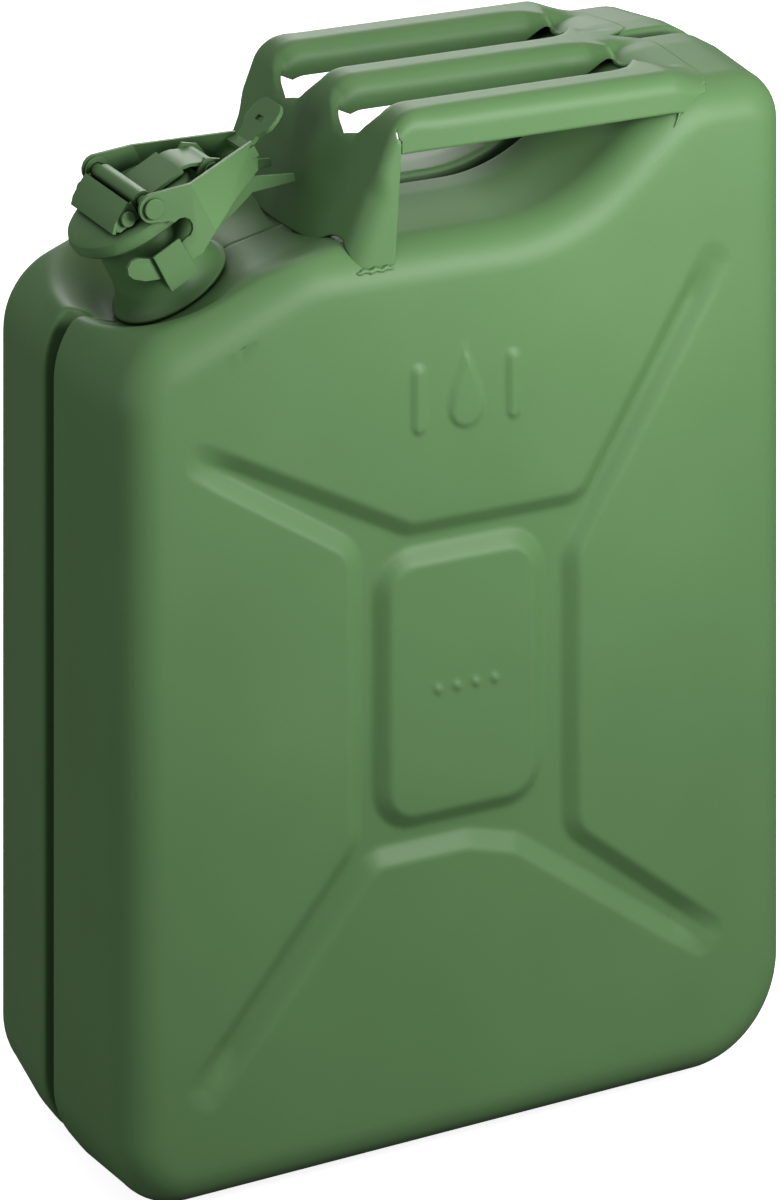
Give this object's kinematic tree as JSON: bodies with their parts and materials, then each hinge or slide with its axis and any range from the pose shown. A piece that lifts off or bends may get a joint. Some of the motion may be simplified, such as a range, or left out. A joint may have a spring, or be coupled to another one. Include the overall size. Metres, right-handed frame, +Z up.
{
  "type": "jerry can",
  "caption": "Pressed steel fuel can with a sunken welded seam, a row of carrying grips and a hinged cam-lever lid on a slanted neck.",
  "frame": {"origin": "middle of the flat base the can stands on", "axes": "+X along the can's width away from the spout, +Y through its depth, +Z up"},
  "size_m": [0.346, 0.156, 0.4697],
  "materials": {
    "olive_paint": "satin",
    "weld_paint": "satin",
    "rubber": "matte",
    "bare_steel": "brushed"
  },
  "bodies": {
    "can": {"front_shell": "olive_paint", "rear_shell": "olive_paint", "seam_weld": "weld_paint", "handle_frame": "olive_paint", "grip_liner_near": "weld_paint", "grip_liner_middle": "weld_paint", "grip_liner_far": "weld_paint", "neck": "olive_paint", "vent_tube": "bare_steel", "strap_near": "olive_paint", "strap_far": "olive_paint", "hinge_bracket": "olive_paint", "hinge_pin": "weld_paint"},
    "lid": {"lid": "olive_paint", "gasket": "rubber", "hinge_arm": "olive_paint", "lid_bracket": "olive_paint", "lid_pin": "weld_paint"},
    "lever": {"lever": "olive_paint", "lever_pin": "weld_paint", "lever_washer_near": "weld_paint", "lever_washer_far": "weld_paint"}
  },
  "joints": [
    {"name": "lid_hinge", "type": "hinge", "parent": "can", "child": "lid", "pos_m": [-0.0984, 0, 0.43726], "axis": [0, 1, 0], "range_deg": [0, 90]},
    {"name": "lever_pivot", "type": "hinge", "parent": "lid", "child": "lever", "pos_m": [-0.13596, 0, 0.43082], "axis": [0, 1, 0], "range_deg": [-135, 0]}
  ],
  "couplings": [
    {"joint": "lever_pivot", "follows": "lid_hinge", "ratio": -1.5}
  ]
}
